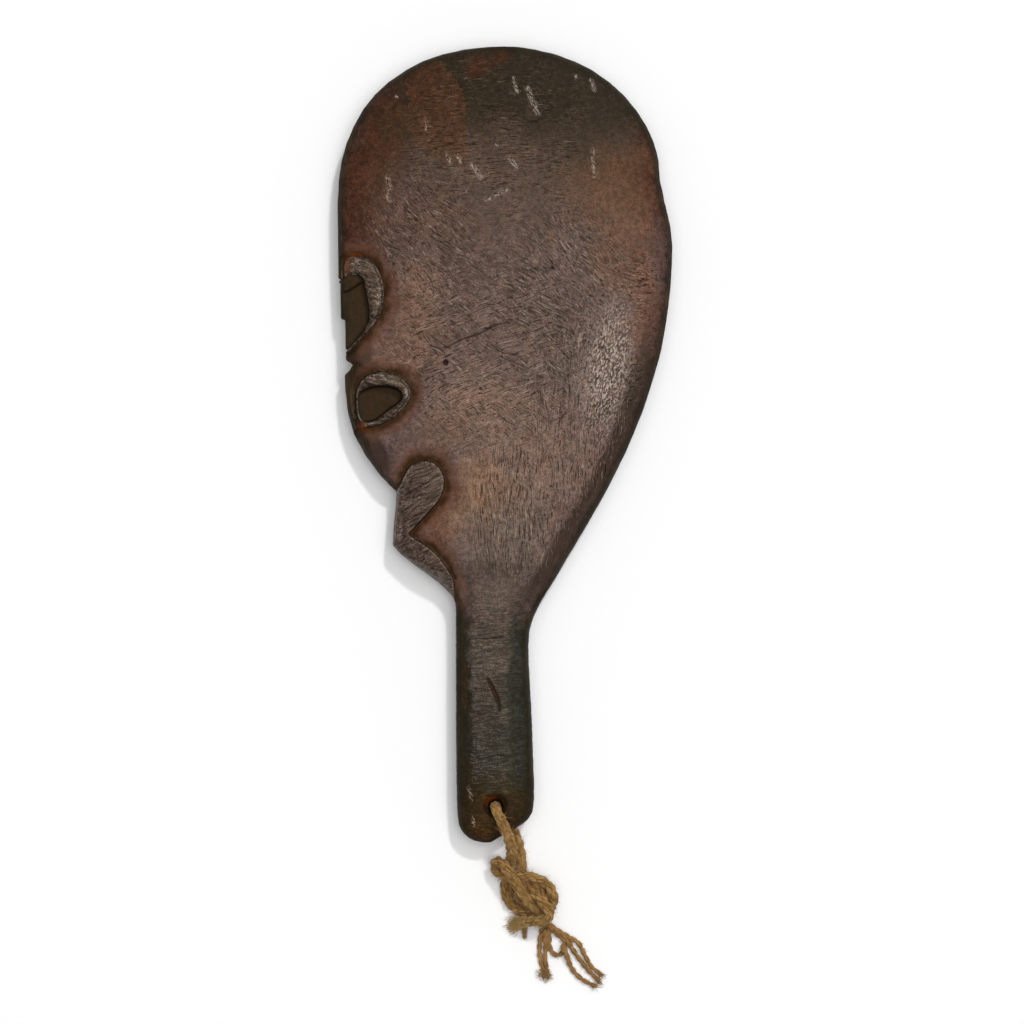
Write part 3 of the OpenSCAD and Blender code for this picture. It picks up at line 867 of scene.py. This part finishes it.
def patina(n, place, cloud, speckle, fine):
    """The broad tones, uneven at four scales, and the clear-edged stain near the tip."""
    tone = n.attribute("tone", "Color")
    stain = n.plus(n.attribute("stain_in"), n.rise(speckle, 0.3, 0.7, -1.2, 1.2))
    tone = n.mix(n.rise(stain, -0.4, 0.5, 0, 0.75), tone, STAIN_TONE)
    tone = shade_of(n, tone, cloud, 0.84, 1.17, 0.3, 0.7)
    cooler, warmer = (0.94, 0.99, 1.04, 1), (1.06, 0.98, 0.94, 1)
    tone = n.tinted(tone, n.mix(n.rise(n.noise(place, 0.21, 3, 0.65), 0.34, 0.66), cooler, warmer))
    tone = shade_of(n, tone, speckle, 0.7, 1.3)
    return shade_of(n, tone, fine, 0.62, 1.38)


def handled(n, tone, place, wrinkle, fine):
    """Wrinkled old polish on the grip with painted highlights on its crests, and painted sparkling flecks
    at the blade's right.
    """
    tone = n.mix(n.attribute("handle"), tone, shade_of(n, tone, wrinkle, 0.6, 1.3))
    # painted highlights on the grip's crests
    crest = n.times(n.rise(wrinkle, 0.48, 0.6), n.rise(fine, 0.5, 0.6))
    crest = n.times(crest, n.times(n.attribute("facet"), 0.25))
    # painted sparkle at the blade's right
    sparkle = n.attribute("sparkle")
    fleck = n.streaks(place, 70, 1.5, 0.8, 2, 0.6)
    tone = n.mix(sparkle, tone, shade_of(n, tone, fleck, 0.45, 1.1, 0.36, 0.5))
    pale = n.most(crest, n.times(n.rise(fleck, 0.52, 0.6), sparkle))
    return n.mix(pale, tone, PALE_WEAR_AND_HIGHLIGHT)


def painted_edge_shade(n, place, cloud, fine):
    """Painted shade on the club's outer edge, where it turns away from the light, with the grain running
    lengthwise.
    """
    grain = n.streaks(n.bent(place, 0.05, 6.0), 90, 16, 0.9, 4, 0.6)
    tone = shade_of(n, EDGE_SHADE_TONE, grain, 0.55, 1.45)
    tone = shade_of(n, tone, cloud, 0.6, 1.6, 0.35, 0.65)
    return shade_of(n, tone, fine, 0.75, 1.25)


def marked(n, tone, place, fine):
    """Painted orange glints, dark cuts and pits, the bare wood in one cut, and pale bruises."""
    # painted orange glints beside the ridges' left ends
    orange_glint = n.times(n.attribute("orange_glint"), n.rise(fine, 0.4, 0.6, 0.2, 0.6))
    tone = n.mix(orange_glint, tone, ORANGE_GLINT_TONE)
    tone = n.mix(n.times(n.attribute("cut"), 0.75), tone, LINE_TONE)
    tone = n.mix(n.times(n.attribute("inner_cut"), 0.6), tone, colour("452a1e"))
    streaks = n.streaks(place, -62, 2, 0.5, 2, 0.6)
    nick = n.times(n.attribute("nick"), n.rise(streaks, 0.47, 0.58))
    return n.mix(n.times(nick, 0.7), tone, PALE_WEAR_AND_HIGHLIGHT)


def wood_material():
    """Old handled hardwood: patchy patina, scratches at several angles, fine grain, soft polish, and
    painted highlights and shade on the carving, the edges and the grip.
    """
    n = Nodes(bpy.data.materials.new("carved_hardwood"))
    place = n.place()
    cloud = n.noise(place, 0.09, 4, 0.6)
    speckle = n.noise(place, 0.45, 4, 0.65)
    fine = n.noise(place, 1.9, 3, 0.7)
    wrinkle = n.streaks(n.bent(place, 0.12, 2.5), 2, 6, 0.7, 3, 0.6)
    edge = n.plus(n.attribute("edge_in"), n.rise(n.noise(place, 0.2, 3, 0.6), 0.3, 0.7, -0.9, 0.9))

    tone = patina(n, place, cloud, speckle, fine)
    # painted shade on the sloping bevel
    bevel = n.times(n.rise(edge, 13, 9.5), n.attribute("bevel"))
    tone = n.mix(n.times(bevel, 0.85), tone, BEVEL_SHADE_TONE)
    dark, pale = scratches(n, place)
    tone = n.mix(n.times(dark, 0.95), tone, LINE_TONE)
    tone = n.mix(n.times(pale, 0.5), tone, PALE_WEAR_AND_HIGHLIGHT)
    tone = handled(n, tone, place, wrinkle, fine)
    tone, ridge, in_pocket, chatter = carved_tones(n, tone, place, speckle, fine)
    # painted shade on the outer edge, except on the ridges
    rim = n.times(n.rise(edge, 5.5, 1.4, 0, 0.8), n.math("SUBTRACT", 1.0, ridge))
    tone = n.mix(rim, tone, painted_edge_shade(n, place, cloud, fine))
    tone = n.tinted(marked(n, tone, place, fine), DEPTH)
    less_shine = n.mix(1.0, tone, SHINE, "SUBTRACT")
    at_least = n.tinted(tone, (0.4, 0.4, 0.4, 1))

    gloss = n.times(n.attribute("shiny"), n.rise(n.noise(place, 0.8, 4, 0.65), 0.35, 0.65, 0.5, 1.0))
    gloss = n.times(n.most(gloss, ridge), n.math("SUBTRACT", 1.0, in_pocket))

    height = n.plus(n.times(speckle, 1.1), n.times(fine, 0.4))
    height = n.math("SUBTRACT", height, n.times(dark, 0.8))
    height = n.plus(height, n.times(n.times(ridge, chatter), 2.2))
    height = n.plus(height, n.times(n.times(n.attribute("handle"), wrinkle), 1.6))
    n.set({
        "Base Color": n.mix(1.0, less_shine, at_least, "LIGHTEN"),
        "Roughness": n.rise(gloss, 0, 1, 0.62, 0.3),
        "Specular IOR Level": 0.22,
        "Specular Tint": (1, 0.84, 0.5, 1),
        "Normal": n.bump(height, 0.00018),
    })
    return n.owner


# ---- Cord, yarns and fibre ----

def unit(vector):
    return vector / np.linalg.norm(vector)


def lengths(path):
    """How far along a path each of its points lies."""
    return np.append(0, np.cumsum(np.linalg.norm(np.diff(path, axis=0), axis=1)))


def evenly(points, step):
    """A smooth curve through the points, as points step apart."""
    p = np.array(points, float)
    fine = np.array(curved([2 * p[0] - p[1], *p, 2 * p[-1] - p[-2]], 16))
    along = lengths(fine)
    at = np.linspace(0, along[-1], max(2, round(along[-1] / step) + 1))
    return np.column_stack([np.interp(at, along, fine[:, i]) for i in range(3)])


def directions(path):
    """Heading at each point of a path, and two directions across it that turn as little as they can."""
    heading = np.gradient(path, axis=0)
    heading /= np.linalg.norm(heading, axis=1)[:, None]
    side = np.empty_like(path)
    last = np.array([0.31, 0.17, 0.93])
    for i, t in enumerate(heading):
        last = unit(last - (last @ t) * t)
        side[i] = last
    return heading, side, np.cross(heading, side)


class Tubes:
    """Round tubes as one mesh, whose points keep their place along the fibres and their bleaching."""

    def __init__(self):
        self.points, self.faces, self.streaks, self.bleached, self.count = [], [], [], [], 0

    def add(self, path, radii, sides, lobes=0, twist=0.0, shift=0.0, bleach=0.0):
        """One tube along path in millimetres, its radius given at each point, closed at both ends."""
        _, side, up = directions(path)
        n = len(path)
        length = lengths(path)
        angle = np.linspace(0, 2 * math.pi, sides, endpoint=False)[None, :]
        lay = angle - (twist * length)[:, None]
        swell = 1 + (0.1 * np.cos(lobes * lay) if lobes else 0 * lay)
        radius = np.asarray(radii)[:, None] * swell
        ring = (path[:, None, :] + (radius * np.cos(angle))[..., None] * side[:, None, :]
                + (radius * np.sin(angle))[..., None] * up[:, None, :])
        streak = np.stack([3 * np.cos(lay) + shift, 3 * np.sin(lay) + 2 * shift,
                           np.broadcast_to(0.16 * length[:, None] + 5 * shift, lay.shape)], axis=-1)
        start = self.count
        self.points.append(ring.reshape(-1, 3))
        self.streaks.append(streak.reshape(-1, 3))
        self.bleached.append(np.repeat(np.broadcast_to(bleach, (n,)), sides))
        row, column = np.arange(n - 1)[:, None] * sides, np.arange(sides)[None, :]
        a, b = row + column, row + (column + 1) % sides
        quads = np.stack([a, a + sides, b + sides, b], axis=-1).reshape(-1, 4)[:, ::-1] + start
        self.faces += quads.tolist()
        self.faces.append(list(range(start, start + sides)))
        self.faces.append(list(range(start + (n - 1) * sides, start + n * sides))[::-1])
        self.count += n * sides

    def piece(self, name, material):
        """The tubes as one object that rides on the cord."""
        mesh = bpy.data.meshes.new(name)
        points = np.vstack(self.points)
        points[:, 2] = np.maximum(points[:, 2], 0)
        mesh.from_pydata((points * MM).tolist(), [], self.faces)
        layer = mesh.attributes.new("streak", "FLOAT_VECTOR", "POINT")
        layer.data.foreach_set("vector", np.vstack(self.streaks).astype(np.float32).ravel())
        give_numbers(mesh, {"bleach": np.concatenate(self.bleached)})
        mesh.shade_smooth()
        mesh.materials.append(material)
        thing = placed(name, mesh)
        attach(thing, "cord")
        return thing


def lay_strands(tubes, path, strands, strand_r, helix_r, pitch, sides, lobes=0, thin=1.0, bleach=0.0):
    """Strands twisted round a path, thin times as thick by its end, bleached most at its start.
    helix_r is how far their middles are from the path and pitch how long one whole turn is."""
    _, side, up = directions(path)
    length = lengths(path)
    along = np.column_stack([length, 0 * length, 0 * length])
    for k in range(strands):
        phase = 2 * math.pi * (length / pitch + k / strands)
        wander = 0.05 * lumps(along + [0, 7 * k, 0], 6, 60 + k)
        slim = np.linspace(1, thin, len(path))
        reach = helix_r * slim * (1 + wander)
        strand = path + (reach * np.cos(phase))[:, None] * side + (reach * np.sin(phase))[:, None] * up
        swell = 1 + 0.07 * lumps(along + [0, 0, 9 * k], 3.5, 70 + k)
        faded = bleach * np.linspace(1, 0.1, len(path))
        tubes.add(strand, strand_r * slim * swell, sides, lobes, twist=-0.75, shift=3.7 * k, bleach=faded)


def fibre(tubes, path, radius, faded=(0.4, 1.2)):
    """One loose fibre, thinning to its free end; faded is the range of its bleaching."""
    thin = np.linspace(1, 0.35, len(path))
    path[:, 2] = np.maximum(path[:, 2], FIBRE_Z)
    shift = float(dice.uniform(0, 40))
    tubes.add(path, radius * thin, sides=3, shift=shift, bleach=float(dice.uniform(*faded)))


def curl(start, heading, length, bend):
    """A short curved path from start, turning by a random bend at each of its steps."""
    path = [start]
    heading = unit(heading)
    steps = 5
    for _ in range(steps):
        heading = unit(heading + dice.normal(0, bend, 3))
        path.append(path[-1] + heading * length / steps)
    return np.array(path)


def fuzz(tubes, path, reach, count, long, radius, skip=0.0):
    """Loose fibre ends that stand off a cord's surface, most of them lying nearly along it."""
    heading, side, up = directions(path)
    for _ in range(count):
        i = int(dice.integers(int(skip * len(path)), len(path)))
        a = dice.uniform(0, 2 * math.pi)
        out = math.cos(a) * side[i] + math.sin(a) * up[i]
        start = path[i] + out * reach * dice.uniform(0.82, 1.0)
        way = heading[i] * 0.75 * dice.choice([-1, 1])
        way = way + out * dice.uniform(0.1, 0.7) + dice.normal(0, 0.35, 3)
        made = curl(start, way, long * dice.uniform(0.4, 1.2), 0.25)
        fibre(tubes, made, radius * dice.uniform(0.7, 1.2))


def fibre_material(name, dark, middle, pale):
    """Dry plant fibre: fine streaks along each yarn, uneven tone, no polish."""
    n = Nodes(bpy.data.materials.new(name))
    streak = n.attribute("streak", "Vector")
    lines = n.noise(streak, 1.3, 4, 0.65)
    tone = n.mix(n.rise(lines, 0.37, 0.5), colour(dark), colour(middle))
    tone = n.mix(n.rise(lines, 0.52, 0.65), tone, colour(pale))
    cloud = n.noise(n.place(), 0.22, 3, 0.6)
    soiled, clean = (0.72, 0.66, 0.58, 1), (1.15, 1.12, 1.05, 1)
    tone = n.tinted(tone, n.mix(n.rise(cloud, 0.3, 0.7), soiled, clean))
    tone = n.mix(n.times(n.attribute("bleach"), 0.6), tone, colour("cca86c"))
    n.set({
        "Base Color": tone,
        "Roughness": n.rise(lines, 0.3, 0.7, 0.95, 0.75),
        "Specular IOR Level": 0.2,
        "Sheen Weight": 0.12,
        "Sheen Tint": (1, 0.8, 0.5, 1),
        "Normal": n.bump(lines, 0.0003),
    })
    return n.owner


def make_yarn(node, route, material):
    """A loose two-strand yarn that ends in a small brush of fibres."""
    path = evenly(route, 0.5)
    tubes = Tubes()
    lay_strands(tubes, path, strands=2, strand_r=0.92, helix_r=0.66, pitch=8, sides=10,
                thin=0.68, bleach=0.2)
    fuzz(tubes, path, reach=1.2, count=50, long=2.5, radius=0.09)
    if node != "yarn_bight":
        heading = unit(path[-1] - path[-4])
        for _ in range(30):
            start = path[-1] - heading * dice.uniform(0, 2) + dice.normal(0, 0.45, 3) * [1, 1, 0.6]
            way = heading + dice.normal(0, 0.25, 3)
            fibre(tubes, curl(start, way, dice.uniform(2, 4.5), bend=0.25), radius=0.17)
    return tubes.piece(node + "_yarn", material)


def make_tuft(material):
    """The frayed end: fibres that leave the cord's last stretch and fan out flat to the left."""
    tubes = Tubes()
    end = evenly(BACK_ROUTE[-4:], 1)
    for _ in range(230):
        i = int(dice.integers(3, len(end)))
        start = end[i] + dice.normal(0, 1, 3) * [1.2, 1.1, 0.4] + [0, 0, 2.3]
        spread = dice.normal(0, 1)
        target = np.array([4.4, -231.2, 2.8]) + [0.9 * dice.normal(), 1.7 * spread, 0.8 * dice.normal()]
        middle = np.array([9.5, -229.6, 8.4]) + [dice.normal(), 0.9 * spread, 0.5 * dice.normal()]
        beyond = target + (target - middle) * dice.uniform(0.1, 0.45) + dice.normal(0, 0.3, 3)
        route = [start, target, beyond] if start[0] < middle[0] + 1 else [start, middle, target, beyond]
        fibre(tubes, evenly(route, 1.6), radius=0.24, faded=(1.2, 1.9))
    for _ in range(60):
        start = np.array([8.6, -230.2, 5]) + dice.normal(0, 0.6, 3)
        target = np.array([9.6, -237.8, 1.2]) + dice.normal(0, 0.5, 3) * [1, 1.2, 0.5]
        middle = (start + target) / 2 + dice.normal(0, 0.3, 3) + [0.3, 0, 0.6]
        fibre(tubes, evenly([start, middle, target], 1.5), radius=0.2)
    return tubes.piece("frayed_tuft", material)


# Slack yarns matted into the knot's gaps.
CORE_ROUTES = [
    [(0.6, -206.6, 5.6), (2.4, -211, 5.2), (4.8, -215.8, 5.4), (7.8, -219.8, 5.6), (11.6, -222.6, 6.4)],
    [(3.6, -206.4, 8.2), (5.2, -210.6, 7.4), (6.8, -214.6, 6.6), (9, -218.2, 6.2), (12.4, -221, 6.6)],
    [(9.6, -208.6, 7.4), (14, -211, 8), (17.6, -214.6, 8), (19.6, -219, 7.6)],
    [(8, -209, 9), (11.6, -213, 9), (15.4, -217.4, 8.6), (18.4, -221.6, 8)],
]


def make_mat(front, back, material):
    """Matted yarns inside the knot, and the fibre ends that stand off both legs of the cord."""
    core = Tubes()
    for route in CORE_ROUTES:
        path = evenly(route, 0.6)
        lay_strands(core, path, strands=2, strand_r=0.95, helix_r=0.8, pitch=11, sides=10)
        fuzz(core, path, reach=1.6, count=90, long=3.4, radius=0.12)
    core = core.piece("matted_core", material)
    mat = Tubes()
    fuzz(mat, front, CORD_D / 2, count=900, long=3.4, radius=0.09, skip=0.08)
    fuzz(mat, back, CORD_D / 2, count=480, long=3.4, radius=0.09, skip=0.12)
    mat = mat.piece("cord_fuzz", material)
    tip = Tubes()
    for _ in range(90):
        start = np.array([19.4, -255.6, 1.6]) + dice.normal(0, 1, 3) * [1.2, 1.2, 0.6]
        way = dice.normal(0, 1, 3) * [1, 1, 0.4]
        fibre(tip, curl(start, way, dice.uniform(2, 4), bend=0.6), radius=0.16)
    tip = tip.piece("matted_tip", material)
    return [core, mat, tip]


def make_cord():
    """The cord's two legs, its unlaid yarns, the frayed end and the matted fibres."""
    twisted = fibre_material("twisted_cord", "452d0f", "8d6b39", "c4a476")
    loose = fibre_material("loose_fibre", "4e3217", "8a6539", "bd9768")
    front = evenly(FRONT_ROUTE, 0.55)
    back = evenly(BACK_ROUTE, 0.55)
    for name, path, node in (("cord_front_leg", front, "cord_front"), ("cord_back_leg", back, "cord_back")):
        tubes = Tubes()
        lay_strands(tubes, path, strands=3, strand_r=1.5, helix_r=1.15, pitch=15, sides=14, lobes=3)
        tubes.piece(name, twisted)
        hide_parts(node)

    for node, route in YARN_ROUTES.items():
        make_yarn(node, route, loose)
        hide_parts(node)
    tuft = make_tuft(loose)
    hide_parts("frayed_end")
    matted = make_mat(front, back, loose)


make_camera()
make_cord()
make_studio()
carved_wood()
